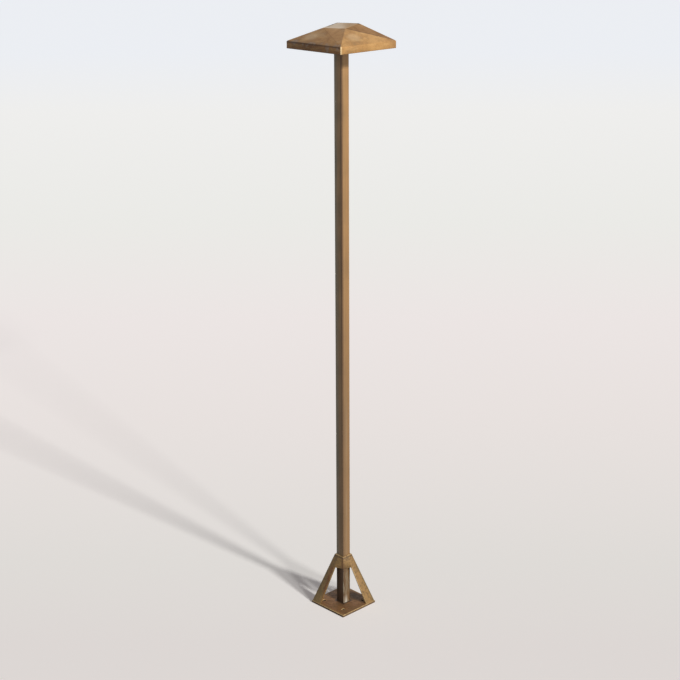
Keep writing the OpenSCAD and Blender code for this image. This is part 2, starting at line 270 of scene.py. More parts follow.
# %% [markdown]
# ## Floor and light
# A studio floor is one large pale sheet. Its tone is warm and a little darker near the object and
# cooler far away on every side. For the camera it glows with its tone, less the light that the
# lamps lay on it, so it shows the plain tone where it is lit and a soft shadow where it isn't.
# Two soft lamps stand low on the right, one about half as strong as the other, so that the right
# faces are bright, the left ones are in shade, and two faint shadows fan out. Both are distant, so
# the tall stem is lit alike from top to foot. A weak sky fills the shade.

# %% Lay the floor
MM = 0.001
FLOOR_SIZE = 90
FLOOR_DROP = 0.2 * MM
FLOOR_LIGHT = 0.694
SHADOW_DEPTH = 0.83
# the tone follows how far a spot lies behind the light, and far out its distance from it
TONE_REACH = 3.5
TONE_SPAN = 1.2
NEAREST = -1.0
SAME_ALL_ROUND_FROM = 3.0

bpy.ops.object.select_all(action="DESELECT")
bpy.ops.mesh.primitive_plane_add(size=FLOOR_SIZE, location=(0, 0, -FLOOR_DROP))
floor = bpy.context.object
floor.name = "floor"

paper = Finish("pale_floor")
across = paper.axis("X")
along = paper.axis("Y")
behind = (along - across) / 2 ** 0.5
depth = behind.at_least(length(across, along) - SAME_ALL_ROUND_FROM).at_least(NEAREST)
tone = paper.node("ShaderNodeValToRGB", {"stops": [
    (0.19, tint(236, 240, 247)), (0.25, tint(239, 240, 241)), (0.37, tint(235, 236, 235)),
    (0.48, tint(236, 231, 232)), (0.60, tint(232, 227, 227)), (0.78, tint(223, 221, 220)),
    (0.89, tint(221, 217, 217)),
]}, {"Fac": TONE_REACH / (depth + TONE_REACH) / TONE_SPAN})
shade = paper.mix(1.0, tone, (SHADOW_DEPTH * FLOOR_LIGHT,) * 3 + (1,), "SUBTRACT")
glow = paper.node("ShaderNodeEmission", None, {"Color": shade, "Strength": 1.0})
soft = paper.node("ShaderNodeBsdfDiffuse", None, {"Color": (SHADOW_DEPTH,) * 3 + (1,)})
sheet = paper.node("ShaderNodeAddShader", None, {0: glow, 1: soft})
plain = paper.node("ShaderNodeBsdfDiffuse", None, {"Color": (0.45, 0.44, 0.43, 1)})
paper.show("ShaderNodeOutputMaterial", sheet, plain)
floor.data.materials.append(paper.material)
print("floor", FLOOR_SIZE, "m")

# %% Light the studio
SKY_LEVEL = 0.14


def add_lamp(name, azimuth, elevation, width, level):
    """A distant soft lamp. Its width is the angle that it fills."""
    data = bpy.data.lights.new(name, "SUN")
    data.angle = radians(width)
    data.energy = level
    data.color = (1.0, 0.97, 0.92)
    lamp = bpy.data.objects.new(name, data)
    a, e = radians(azimuth), radians(elevation)
    way = Vector((cos(a) * cos(e), sin(a) * cos(e), sin(e)))
    lamp.location = way * 5
    lamp.rotation_euler = way.to_track_quat("Z", "Y").to_euler()
    bpy.context.scene.collection.objects.link(lamp)


add_lamp("main lamp", azimuth=0, elevation=29.5, width=5.5, level=2.5)
add_lamp("weaker lamp", azimuth=-11, elevation=27, width=6, level=1.15)
world = bpy.data.worlds.new("studio")
bpy.context.scene.world = world
sky = Nodes(world)
fill, backdrop = (
    sky.node("ShaderNodeBackground", None, {"Color": colour, "Strength": strength})
    for colour, strength in (((0.95, 0.97, 1.0, 1), SKY_LEVEL), (tint(235, 238, 243), 1.0))
)
sky.show("ShaderNodeOutputWorld", backdrop, fill)
bpy.context.scene.view_settings.view_transform = "Standard"

# %% [markdown]
# ## Tools for modelling by hand
# Every piece starts as a primitive and is shaped in edit mode. The helpers below do what a hand
# does: clear the selection, pick faces or edges by where they lie, and apply a modifier.


# %% Start a piece
def close_edit():
    """Leaves edit mode, if a mesh is open."""
    if bpy.context.object and bpy.context.object.mode == "EDIT":
        bpy.ops.object.mode_set(mode="OBJECT")


def choose(piece):
    """Closes edit mode and selects this piece alone."""
    close_edit()
    bpy.ops.object.select_all(action="DESELECT")
    piece.select_set(True)
    bpy.context.view_layer.objects.active = piece


def start(kind, **settings):
    """Adds a primitive with nothing else selected, and opens it in edit mode."""
    close_edit()
    bpy.ops.object.select_all(action="DESELECT")
    getattr(bpy.ops.mesh, f"primitive_{kind}_add")(**settings)
    piece = bpy.context.object
    bpy.ops.object.transform_apply(location=True, rotation=True, scale=True)
    bpy.ops.object.mode_set(mode="EDIT")
    return piece


def block(low, high):
    """A box between two corners, open for editing."""
    low, high = Vector(low), Vector(high)
    return start("cube", size=1, location=(low + high) / 2, scale=high - low)


def square_bar(side, low_z, high_z):
    """A square bar about the light's axis, between two heights."""
    return block((-side / 2, -side / 2, low_z), (side / 2, side / 2, high_z))


def open_again(piece):
    """Opens a piece in edit mode."""
    choose(piece)
    bpy.ops.object.mode_set(mode="EDIT")


# %% Pick what to shape
# how close counts as the same place
NEAR = 0.1 * MM


def pick(kind, test, sharper_than=0):
    """Selects the faces or edges of the open mesh that pass the test, and counts them."""
    mesh = bpy.context.object.data
    bpy.ops.mesh.select_mode(type=kind)
    bpy.ops.mesh.select_all(action="DESELECT")
    if sharper_than:
        bpy.ops.mesh.edges_select_sharp(sharpness=radians(sharper_than))
    bpy.ops.object.mode_set(mode="OBJECT")
    count = 0
    for item in mesh.edges if kind == "EDGE" else mesh.polygons:
        if sharper_than and not item.select:
            continue
        if kind == "EDGE":
            chosen = test(*(mesh.vertices[v].co for v in item.vertices))
        else:
            chosen = test(item.center, item.normal)
        item.select = bool(chosen)
        count += bool(chosen)
    bpy.ops.object.mode_set(mode="EDIT")
    return count


def is_top(middle, normal):
    """True for a face that looks up."""
    return normal.z > 0.9


def is_upright(a, b):
    """True for a long edge that climbs."""
    return abs(a.z - b.z) > 5 * MM


def at_height(z):
    """A test for edges that lie level at a height."""
    return lambda a, b: max(abs(a.z - z), abs(b.z - z)) < NEAR


def round_edges(width, steps, test, sharper_than=0):
    """Bevels the edges of the open mesh whose two ends pass the test."""
    count = pick("EDGE", test, sharper_than)
    bpy.ops.mesh.bevel(offset=width, segments=steps, affect="EDGES", clamp_overlap=True)
    return count


# %% Join, cut and turn
def join_solid(piece, tool, how):
    """Unites two solids or cuts one from the other, and removes the tool."""
    choose(piece)
    join = piece.modifiers.new("join", "BOOLEAN")
    join.operation = how
    join.object = tool
    join.solver = "EXACT"
    bpy.ops.object.modifier_apply(modifier=join.name)
    bpy.data.objects.remove(tool)


def lathe(place, way, *steps):
    """A solid of revolution from a place along a way. Each step is a width and a distance."""
    width, depth = steps[0]
    tool = start("circle", vertices=40, radius=width / 2, fill_type="NGON", location=(0, 0, depth))
    for next_width, next_depth in steps[1:]:
        bpy.ops.mesh.extrude_region_move(
            TRANSFORM_OT_translate={"value": (0, 0, next_depth - depth)})
        if next_width != width:
            grow = next_width / width
            bpy.ops.transform.resize(value=(grow, grow, 1), center_override=(0, 0, next_depth))
        width, depth = next_width, next_depth
    bpy.ops.mesh.select_all(action="SELECT")
    bpy.ops.mesh.normals_make_consistent(inside=False)
    close_edit()
    turn = Vector(way).to_track_quat("Z", "Y").to_matrix().to_4x4()
    tool.matrix_world = Matrix.Translation(place) @ turn
    bpy.ops.object.transform_apply(location=True, rotation=True, scale=True)
    return tool


def drill(piece, place, way, *steps):
    """Cuts a turned hole from a place along a way."""
    join_solid(piece, lathe(place, way, *steps), "DIFFERENCE")


# %% Measure and finish a piece
def size_of(piece):
    """A piece's size in millimetres, its volume, its faces and its open edges, for printing."""
    close_edit()
    mesh = bmesh.new()
    mesh.from_mesh(piece.data)
    places = [[v.co[axis] for v in mesh.verts] for axis in range(3)]
    size = [round((max(p) - min(p)) / MM, 1) for p in places]
    volume = round(mesh.calc_volume() * 1e6, 2)
    open_edges = sum(not edge.is_manifold for edge in mesh.edges)
    faces = len(mesh.faces)
    mesh.free()
    return f"{size} mm, {volume} cm3, {faces} faces, {open_edges} open edges"


SMOOTH_BELOW = 30


def finish_piece(piece, name, node, body, slot, finish):
    """Names, shades and paints a piece, hangs it on its body, and lets it stand for a CAD node."""
    choose(piece)
    bpy.ops.object.shade_smooth_by_angle(angle=radians(SMOOTH_BELOW))
    piece.name = name
    piece.data.name = name
    piece.data.materials.clear()
    piece.data.materials.append(finish)
    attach(piece, body)
    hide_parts(node)
    print(name, size_of(piece))


# %% [markdown]
# ## The finish of the castings
# The hat, the brace and the plate are cast brass that has stood outdoors. Air has turned the bare
# yellow metal to a warm brown, unevenly, and wet spots bloom lighter. Faces turned away from the
# lamps are painted darker as painted shade, mixed into the tarnish. One recipe gives all castings
# the same layers, and each piece adds its own streaks, painted shade and painted highlights before
# the colours reach the shader.


# %% The cast brass recipe
def cast_brass(name, clean, tarnished, bloom, lumps, shade_share, spotted=0.25):
    """Starts a finish and returns it with its clouds, its spots, its grain, and its tarnish with
    painted shade.
    """
    fin = Finish(name)
    clouds = fin.noise(lumps, detail=5, rough=0.6, distort=0.4)
    spots = fin.noise(lumps * 4.5, detail=3, rough=0.6)
    grain = fin.noise(lumps * 28, detail=2, rough=0.7)
    # painted shade: faces that look towards -Y, away from the lamps, are darkened along with the
    # tarnish
    painted_side_shade = (fin.axis("Y", fin.normal) * -1).at_least(0.0) * shade_share
    tarnish_and_shade = clouds.ramp(0.42, 0.72) * 0.45 + spots.ramp(0.46, 0.66) * spotted + painted_side_shade
    tarnish_and_shade = tarnish_and_shade.at_most(1.0)
    fin.colour = fin.mix(tarnish_and_shade, clean, tarnished)
    fin.paint((clouds * spots).ramp(0.27, 0.40) * 0.35, bloom)
    fin.paint(grain.ramp(0.3, 0.7) * 0.16, (0.02, 0.012, 0.006, 1), "MULTIPLY")
    return fin, clouds, spots, grain, tarnish_and_shade


# %% [markdown]
# ## The hat's finish
# Seen from above the hat is golden brown, with paler level wipe marks where rain has run off and
# dried. Painted shade darkens its narrow facets, the fold beside the sunny one, its shaded roof and
# skirt and its eave, and its rim holds dirt and painted shade on the shaded side. A painted
# highlight brightens its front corner, and its dusty crown is partly painted sky reflection. The
# masks come from where a face looks and from its distance to the form's own lines, so that they fit
# the casting without a painted image.

# %% Start the hat's brass
CROWN_SIDE = 61.5 * MM
CROWN_TURN = 13
SKIRT_HEIGHT = 17.5 * MM

hat_low, hat_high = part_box("hat_shell")
eave_z = hat_low.z + SKIRT_HEIGHT
fin, clouds, spots, grain, tarnish_and_shade = cast_brass(
    "hat_brass", tint(200, 154, 96), tint(112, 74, 42), tint(184, 150, 106),
    lumps=12, shade_share=0.62,
)
across, along, height = (fin.axis(name) for name in "XYZ")
right_face = fin.facing("X", 0.2, 0.4)
left_face = fin.facing("-Y", 0.2, 0.4)
crown_top = fin.facing("Z", 0.93, 0.98)
outside = fin.facing("Z", -0.3, 0.0)
on_roof = height.ramp(eave_z + 0.002, eave_z + 0.006)
print("hat's eave at", round(eave_z, 4))

# %% Darken the narrow facets
# the turned crown leaves four narrow facets in the roof; they are painted darker as painted shade,
# and on the sunny side a line of painted shade lies along the fold
painted_facet_shade, painted_fold_shade = 0, 0
for turn in range(4):
    from_way = radians(CROWN_TURN + 90 * turn - 45)
    way = radians(CROWN_TURN + 90 * turn)
    crown_corner = Vector((cos(from_way), sin(from_way))) * CROWN_SIDE / 2 ** 0.5
    eave_corner = Matrix.Rotation(turn * pi / 2, 2) @ Vector((hat_high.x, hat_high.y))
    line = (eave_corner - crown_corner).normalized()
    above_line = (along - crown_corner.y) * line.x - (across - crown_corner.x) * line.y
    faces = fin.axis("X", fin.normal) * cos(way) + fin.axis("Y", fin.normal) * sin(way)
    on_facet = faces.ramp(0.36, 0.42) * (1 - crown_top)
    painted_facet_shade = painted_facet_shade + above_line.ramp(-0.001, 0.001) * on_facet
    painted_fold_shade = painted_fold_shade + above_line.near(0.0015, 0.0025) * on_facet
print("last facet from", [round(v, 4) for v in crown_corner])

# %% Wipe and stain the roof
# soft wipe marks run level round the roof, and lighter blooms sit on it where drops have dried
wipes = fin.noise((24, 24, 130), detail=3, distort=0.5)
fin.paint(wipes.ramp(0.48, 0.68) * outside * 0.22, tint(222, 184, 126))
fin.paint((1 - wipes.ramp(0.34, 0.46)) * outside * 0.18, tint(150, 104, 58))
# painted shade on the narrow facets, and a painted shade line along the fold
fin.paint(painted_facet_shade * 0.8, (0.48, 0.39, 0.22, 1), "MULTIPLY")
fin.paint(painted_fold_shade * right_face * 0.55, tint(84, 58, 36))
far_end = right_face * along.ramp(0.045, 0.092)
fin.paint(far_end * 0.3, tint(150, 100, 54))
# painted shade darkens the roof on the shaded side
fin.paint(left_face * on_roof * outside * 0.2, tint(92, 58, 30))
blooms = (spots * 0.6 + wipes * 0.4).ramp(0.52, 0.62) * left_face * 0.22
for x, y, wide, deep, level in (
    (-0.032, -0.070, 0.026, 0.014, 0.7),
    (0.066, -0.023, 0.012, 0.022, 0.5),
):
    away = length((across - x) / wide, (along - y) / deep)
    blooms = blooms + (1 - (away + (0.5 - clouds) * 2.5).ramp(0.2, 1.1)) * level
fin.paint(blooms.at_most(1.0) * on_roof * outside * 0.6, tint(214, 186, 148))
print("wiped roof", len(fin.tree.nodes), "nodes so far")

# %% Age the crown, the skirt and the edges
# the crown is dusty, and its paleness on the left is partly painted sky reflection, with a dark
# line along its far edges
bare = (clouds * 0.4 + (across + along).ramp(-0.03, 0.05) * 0.6).ramp(0.3, 0.7)
dust_and_painted_reflection = fin.mix(bare, tint(208, 193, 174), tint(172, 144, 114))
fin.paint(crown_top * 0.85, dust_and_painted_reflection)
turned = fin.stretched((1, 1, 1), (0, 0, radians(-CROWN_TURN)))
level_x, level_y = abs(fin.axis("X", turned)), abs(fin.axis("Y", turned))
crown_edge = level_x.at_least(level_y).near(CROWN_SIDE / 2, 0.005)
at_back = (along - across).ramp(0, 0.01) * height.ramp(hat_high.z - 0.012, hat_high.z - 0.008)
fin.paint(crown_edge * at_back * outside * 0.85, tint(66, 54, 46))
# painted shade darkens the shaded skirt, which has pale damp spots
painted_skirt_shade = left_face * (1 - on_roof) * (0.2 + across.ramp(-0.09, 0.0) * 0.12)
fin.paint(painted_skirt_shade, tint(68, 52, 44))
wet = spots.ramp(0.52, 0.64) * left_face * (1 - on_roof)
fin.paint(wet * 0.45, tint(152, 138, 126))
# painted shade darkens the eave on the shaded side; the rim holds dirt and is painted darker on the
# shaded side; a painted highlight brightens the front corner
eave = height.near(eave_z - 0.0015, 0.0032) * left_face
rim = height.near(hat_low.z, 0.0022)
fin.paint(eave * 0.7, tint(62, 42, 30))
fin.paint(rim * (0.25 + left_face * 0.4), tint(70, 50, 36))
from_corner = hat_high.x * 2 - (across - along)
painted_corner_highlight = (1 - from_corner.ramp(0.001, 0.006)) * right_face * (1 - on_roof)
fin.paint(painted_corner_highlight * 0.65, tint(250, 222, 172))
hat_brass = fin.surface(
    Base_Color=fin.colour,
    Metallic=0.3,
    Specular_IOR_Level=0.3,
    Roughness=0.42 + tarnish_and_shade * 0.2 + grain * 0.06 + crown_top * 0.3,
    Normal=fin.bump(clouds * 0.5 + spots * 0.35 + grain * 0.15, 0.0006, 0.4),
)
print("hat finish", len(fin.tree.nodes), "nodes")

# %% [markdown]
# ## The brace's finish
# Rust-coloured dirt runs down the shaded wings. Painted shade darkens their outer edges, the
# collar's front edge and a line just below the collar's top, and painted light brightens the
# collar's top, the wings' inner edges and the shaded faces near the foot. Each mark is a colour
# with a mask of its own, laid over the recipe.

# %% Finish the brace
COLLAR_SIDE = 31.8 * MM

brace_low, brace_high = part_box("brace_frame")
fin, clouds, spots, grain, tarnish_and_shade = cast_brass(
    "brace_brass", tint(152, 118, 71), tint(82, 67, 40), tint(146, 128, 94),
    lumps=30, shade_share=0.4, spotted=0.55,
)
across, along, height = (fin.axis(name) for name in "XYZ")
left_face = fin.facing("-Y", 0.3, 0.6)
right_face = fin.facing("X", 0.3, 0.6)
below_collar = 1 - height.ramp(brace_high.z - 0.038, brace_high.z - 0.030)
# a brown run of rust-coloured dirt comes down each shaded wing and widens at its foot
run_middle = (height - brace_low.z) * 0.143 - 0.029
run = across.near(run_middle, 0.007) * left_face * below_collar
fin.paint(run * (0.45 + spots.ramp(0.35, 0.6) * 0.45), tint(106, 58, 28))
# painted shade: the outer edge of each wing is painted a dark olive
lean = (brace_high.z - height) * 0.311
outer = abs(across).at_most(abs(along)) - lean
painted_wing_edge_shade = outer.ramp(0.0095, 0.0135) * below_collar
fin.paint(painted_wing_edge_shade * (0.62 - left_face * 0.12), tint(90, 80, 46))
freckles = spots.ramp(0.54, 0.66) * right_face
fin.paint(freckles * 0.4, tint(104, 70, 36))
# painted highlight: the inner edge of each wing's shaded face is painted bright
painted_inner_edge_light = left_face * along.ramp(0.0, 0.004) * below_collar
fin.paint(painted_inner_edge_light * 0.85, tint(236, 204, 150))
# a painted highlight brightens the collar's top, and a line of painted shade lies just below it
painted_top_highlight = height.near(brace_high.z, 0.0012)
painted_top_shade_line = height.near(brace_high.z - 0.0038, 0.0030)
fin.paint(painted_top_shade_line * 0.8, tint(50, 34, 20))
# painted shade darkens the collar's front edge on the shaded side
painted_collar_edge_shade = 1 - (COLLAR_SIDE - (across - along)).ramp(0.0012, 0.0045)
fin.paint(painted_collar_edge_shade * left_face * 0.7, tint(78, 46, 26))
fin.paint(painted_top_highlight * 0.45, tint(206, 182, 140))
collar_mottle = (1 - below_collar) * spots.ramp(0.42, 0.62)
fin.paint(collar_mottle * 0.4, tint(110, 84, 50))
damp = 1 - height.ramp(0.006, 0.03)
fin.paint(damp * spots.ramp(0.4, 0.7) * 0.4, tint(116, 98, 60))
# painted light: the shaded faces are painted lighter near the foot
painted_foot_light = left_face * (1 - height.ramp(0.02, 0.06))
fin.paint(painted_foot_light * 0.35, tint(156, 132, 84))
brace_brass = fin.surface(
    Base_Color=fin.colour,
    Metallic=0.25,
    Roughness=0.45 + tarnish_and_shade * 0.2,
    Normal=fin.bump(clouds * 0.4 + spots * 0.4 + grain * 0.2, 0.0007, 0.6),
)
print("brace finish", len(fin.tree.nodes), "nodes")

# %% [markdown]
# ## The plate's finish
# The plate lies flat in the wet, so it is the darkest casting. Painted highlights brighten its
# bevel and its countersinks, painted shade darkens its bores, and a painted shadow rings the foot
# of the stem and lies beside it under a leg. The distance from the axis and from the nearest hole
# gives the masks, so they stay round at every hole.

# %% Finish the plate
HOLE_FROM_MIDDLE = 36 * MM

plate_low, plate_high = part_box("base_plate")
fin, clouds, spots, grain, tarnish_and_shade = cast_brass(
    "plate_brass", tint(136, 96, 55), tint(74, 52, 31), tint(148, 114, 68),
    lumps=30, shade_share=0.4, spotted=0.5,
)
across, along, height = (fin.axis(name) for name in "XYZ")
brushed = fin.noise((14, 160, 60), detail=3)
fin.paint(brushed.ramp(0.45, 0.7) * 0.4, tint(88, 60, 38))
# the upright sides are darker, and a painted highlight brightens the bevel above them
on_side = 1 - fin.facing("Z", 0.1, 0.4)
fin.paint(on_side * 0.6, tint(64, 50, 30))
reach = abs(across).at_least(abs(along))
bevel = height.ramp(plate_high.z - 0.0018, plate_high.z - 0.0010) * reach.ramp(
    plate_high.x - 0.0022, plate_high.x - 0.0014)
fin.paint(bevel * (0.35 + spots.ramp(0.4, 0.6) * 0.35), tint(206, 178, 128))
# painted shade darkens each bore, and a painted highlight brightens its countersink
radius = length(abs(across) - HOLE_FROM_MIDDLE, abs(along) - HOLE_FROM_MIDDLE)
fin.paint((1 - radius.ramp(0.0052, 0.0058)) * 0.4, tint(226, 192, 136))
fin.paint((1 - radius.ramp(0.0034, 0.0042)) * 0.92, tint(20, 14, 10))
# a painted shadow rings the foot of the stem, and another lies beside it, where a leg shades the
# plate
on_top = fin.facing("Z", 0.1, 0.4)
fin.paint((1 - reach.ramp(0.0150, 0.0195)) * on_top * 0.8, tint(30, 22, 16))
away = length(across - 0.004, along - 0.034)
fin.paint((1 - away.ramp(0.008, 0.028)) * on_top * 0.4, tint(30, 24, 16))
plate_brass = fin.surface(
    Base_Color=fin.colour,
    Metallic=0.1,
    Roughness=0.58 + tarnish_and_shade * 0.2,
    Normal=fin.bump(clouds * 0.4 + spots * 0.4 + grain * 0.2, 0.0007, 0.6),
)
print("plate finish", len(fin.tree.nodes), "nodes")

# %% [markdown]
# ## The finish of the drawn tube
# The stem is drawn, not cast, so its marks run along it: fine die lines, long faint streaks, and
# a slow change of tone from the sheltered top to the splashed foot. Its shaded face, its front edge
# and its part between the legs are painted darker as painted shade. Splashes have dried pale low on
# its sunny side, and a painted highlight brightens that side at the foot.

# %% Finish the stem's brass
stem_low, stem_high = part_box("stem")
fin = Finish("stem_brass")
across, along, height = (fin.axis(name) for name in "XYZ")
lines = fin.noise((700, 700, 3), detail=3, rough=0.6)
streaks = fin.noise((90, 90, 4.5), detail=4, rough=0.55)
splashes = fin.noise((330, 330, 22), detail=4, rough=0.6)
clouds = fin.noise(9, detail=4)
left_face = fin.facing("-Y", 0.2, 0.6)
right_face = fin.facing("X", 0.2, 0.6)
# painted shade: the face that looks towards -Y is darkened along with the tarnish
tarnish_and_shade = clouds.ramp(0.35, 0.75) * 0.3 + streaks.ramp(0.4, 0.75) * 0.25 + left_face * 0.5
tarnish_and_shade = tarnish_and_shade.at_most(1.0)
fin.colour = fin.mix(tarnish_and_shade, tint(180, 140, 94), tint(78, 69, 53))
fin.paint((1 - height.ramp(0.35, 1.3)) * 0.66, tint(112, 90, 66))
# the shaded face is greyer at its outer edge; painted shade draws the front edge as a brown line
outer_strip = left_face * (1 - across.ramp(-0.011, 0.003))
fin.paint(outer_strip * 0.42, tint(104, 118, 112))
from_edge = stem_high.x * 2 - (across - along)
painted_stem_edge_shade = (1 - from_edge.ramp(0.0022, 0.0062)) * (0.4 + height.ramp(0.3, 0.9) * 0.3)
fin.paint(painted_stem_edge_shade, tint(84, 60, 42))
# the sunny face turns golden towards its outer edge, and a dry pale streak runs down its middle
fin.paint(right_face * along.ramp(-0.004, 0.006) * 0.24, tint(172, 124, 66))
streak = right_face * along.near(0.0005, 0.005) * (1 - height.ramp(0.35, 0.7))
fin.paint(streak * (0.1 + streaks.ramp(0.4, 0.6) * 0.3), tint(190, 168, 140))
# between the legs the tube is painted dark as painted shade, and splashes have dried pale low on
# its sunny face
inside_brace = 1 - height.ramp(0.106, 0.118)
fin.paint(inside_brace * (0.35 + left_face * 0.4), tint(62, 44, 32))
low = 1 - height.ramp(0.07, 0.108)
fin.paint(low * splashes.ramp(0.47, 0.60) * right_face * 0.55, tint(190, 184, 160))
# painted highlight: the sunny face is painted bright at the foot
foot = (1 - height.ramp(0.014, 0.032)) * right_face * (0.45 + splashes.ramp(0.42, 0.58) * 0.55)
fin.paint(foot * along.near(-0.003, 0.011) * 0.8, tint(226, 222, 208))
# painted shade darkens the far edge of the sunny face between the legs
painted_far_edge_shade = along.ramp(0.0088, 0.0118) * inside_brace * right_face
fin.paint(painted_far_edge_shade * 0.6, tint(48, 34, 24))
stem_brass = fin.surface(
    Base_Color=fin.colour,
    Metallic=0.35,
    Roughness=0.38 + tarnish_and_shade * 0.2 + lines * 0.06,
    Normal=fin.bump(lines * 0.5 + streaks * 0.5, 0.0002, 0.5),
)
print("stem finish", len(fin.tree.nodes), "nodes")

# %% [markdown]
# ## Small parts
# The parts under the hat and the plate are bought in: ceramic sockets, lamps with a clear cover,
# stainless and blackened screws, rubber and insulated leads. All are clean and even, so one recipe
# of two close tones and a fine grain does for most of them, and a table holds what differs.

# %% Finish the small parts
def plain_finish(name, tone, second, lumps, share, roughness, metallic, bump):
    """Two close tones in soft clouds, and a fine grain."""
    part = Finish(name)
    cloud = part.noise(lumps, detail=3)
    fine = part.noise(lumps * 9, detail=2)
    return part.surface(
        Base_Color=part.mix(cloud.ramp(0.35, 0.7) * share, tint(*tone), tint(*second)),
        Metallic=metallic,
        Roughness=roughness + fine * 0.12,
        Normal=part.bump(fine, 0.0002, bump),
    )


# two tones, lumps per metre, share of the second tone, roughness, metallic, bump
bought = {name: plain_finish(name, *row) for name, row in {
    "bare_brass": ((214, 176, 110), (170, 128, 76), 90, 0.7, 0.28, 1.0, 0.15),
    "stainless": ((196, 194, 190), (150, 146, 140), 160, 0.6, 0.28, 1.0, 0.1),
    "dark_steel": ((64, 62, 60), (92, 74, 58), 200, 0.5, 0.45, 0.8, 0.15),
    "black_rubber": ((40, 40, 42), (58, 56, 54), 120, 0.5, 0.75, 0.0, 0.25),
    "ceramic": ((232, 226, 212), (214, 204, 186), 110, 0.5, 0.3, 0.0, 0.1),
    "lamp_white": ((236, 236, 232), (220, 220, 214), 140, 0.4, 0.4, 0.0, 0.05),
    "lead_black": ((34, 34, 36), (50, 50, 52), 200, 0.5, 0.5, 0.0, 0.1),
    "splice_blue": ((44, 92, 150), (62, 112, 168), 150, 0.5, 0.4, 0.0, 0.1),
}.items()}
print("plain finishes", *bought)

# %% Finish the clear cup and the emitter board
fin = Finish("lamp_clear")
cloud = fin.noise(120, detail=3)
bought["lamp_clear"] = fin.surface(
    Base_Color=(1, 1, 1, 1), Roughness=0.08 + cloud * 0.08, IOR=1.46,
    Transmission_Weight=0.9, Normal=fin.bump(cloud, 0.0001, 0.2),
)

# the board is white, and the emitters that stand out of it have yellow phosphor faces
LAMP_RISE = 12.5 * MM
EMITTER_FACE = 3.46 * MM

lamp_z = stem_high.z + LAMP_RISE
fin = Finish("emitter_board")
cloud = fin.noise(420, detail=3)
from_axis = length(fin.axis("Y"), fin.axis("Z") - lamp_z)
emitters = from_axis.ramp(EMITTER_FACE - 0.04 * MM, EMITTER_FACE + 0.04 * MM)
board_white = fin.mix(cloud.ramp(0.35, 0.7) * 0.5, tint(232, 230, 222), tint(206, 202, 190))
phosphor = fin.mix(cloud.ramp(0.35, 0.7) * 0.6, tint(236, 212, 92), tint(214, 180, 58))
bought["emitter_board"] = fin.surface(
    Base_Color=fin.mix(emitters, board_white, phosphor), Metallic=0.0,
    Roughness=0.4 + cloud * 0.15, Normal=fin.bump(cloud, 0.0001, 0.15),
)

# %% Paint the CAD nodes that stay
STAY = {
    "bare_brass": ["stem_foot", "stem_head"],
    "stainless": [f"{name}_screws" for name in ("frame", "foot", "head", "bracket", "socket")],
    "dark_steel": ["collar_screws", "hat_screws"],
    "black_rubber": ["cable_bushing"],
    "emitter_board": ["lamp_board_left", "lamp_board_right"],
    "lead_black": ["socket_leads"],
    "splice_blue": ["lead_splices"],
}
for name, nodes in STAY.items():
    for node in nodes:
        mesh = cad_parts[node].data
        mesh.materials.clear()
        mesh.materials.append(bought[name])
print("finishes on", sum(len(nodes) for nodes in STAY.values()), "CAD nodes")

# %% [markdown]
# ## The hat
# The hat is one hollow casting: an upright skirt, a low four-sided roof, and a flat crown that is
# turned and tipped a little against the skirt. A hull over the skirt and the crown gives the roof
# its facets. The outside and the hollow are the same form in two sizes, and one is cut out of the
# other, so the wall stays even. Both have soft edges, as a sand casting has, and the rim's edges
# are rounded last.

# %% Give the hat's form in any size
HAT_WALL = 2.5 * MM
ROOF_RISE = 35.5 * MM
CROWN_FALL = 6.5

hat_side = hat_high.x - hat_low.x
crown_z = eave_z + ROOF_RISE
roof_angle = atan2(ROOF_RISE, (hat_side - CROWN_SIDE) / 2)
diagonal = Matrix.Rotation(radians(45), 3, "Z")


def tip_crown(middle):
    """Tips the selected faces about the level line between the hat's left and right corners."""
    bpy.ops.transform.rotate(
        value=radians(-CROWN_FALL), orient_axis="X", orient_type="GLOBAL",
        orient_matrix=diagonal, orient_matrix_type="GLOBAL", center_override=middle,
    )


def wrap_hull():
    """Replaces the open mesh by the tightest convex skin round it."""
    bpy.ops.mesh.select_all(action="SELECT")
    bpy.ops.mesh.convex_hull(
        use_existing_faces=False, face_threshold=radians(1), shape_threshold=radians(1))


def hat_form(side, base, eave, crown_side, crown_middle):
    """The hat's form in one size, closed and open for editing."""
    form = square_bar(side, base, eave)
    pick("FACE", is_top)
    bpy.ops.mesh.extrude_region_move(
        TRANSFORM_OT_translate={"value": (0, 0, crown_middle - eave)})
    middle = (0, 0, crown_middle)
    share = crown_side / side
    bpy.ops.transform.resize(value=(share, share, 1), center_override=middle)
    bpy.ops.transform.rotate(value=radians(-CROWN_TURN), orient_axis="Z", center_override=middle)
    tip_crown(middle)
    wrap_hull()
    return form


print("roof climbs", round(roof_angle * 180 / pi, 1), "degrees")

# %% Shape the outside and the hollow
# a cutter sticks out past what it cuts
PAST = 5 * MM
CAST_EDGE = 1.1 * MM
INNER_EDGE = 0.8 * MM
RIM_EDGE = 0.6 * MM

hat = hat_form(hat_side, hat_low.z, eave_z, CROWN_SIDE, crown_z)
round_edges(CAST_EDGE, 3, lambda a, b: max(a.z, b.z) > eave_z - 1 * MM)
print("outside", size_of(hat))
slant = 1 / cos(roof_angle)
hollow = hat_form(
    hat_side - 2 * HAT_WALL, hat_low.z - PAST, eave_z - HAT_WALL * (slant - tan(roof_angle)),
    CROWN_SIDE - 2 * HAT_WALL * (slant - 1) / tan(roof_angle), crown_z - HAT_WALL,
)
round_edges(INNER_EDGE, 2, lambda a, b: max(a.z, b.z) > eave_z - 4 * MM)
print("hollow", size_of(hollow))
join_solid(hat, hollow, "DIFFERENCE")
open_again(hat)
round_edges(RIM_EDGE, 2, at_height(hat_low.z))
print("hat", size_of(hat))

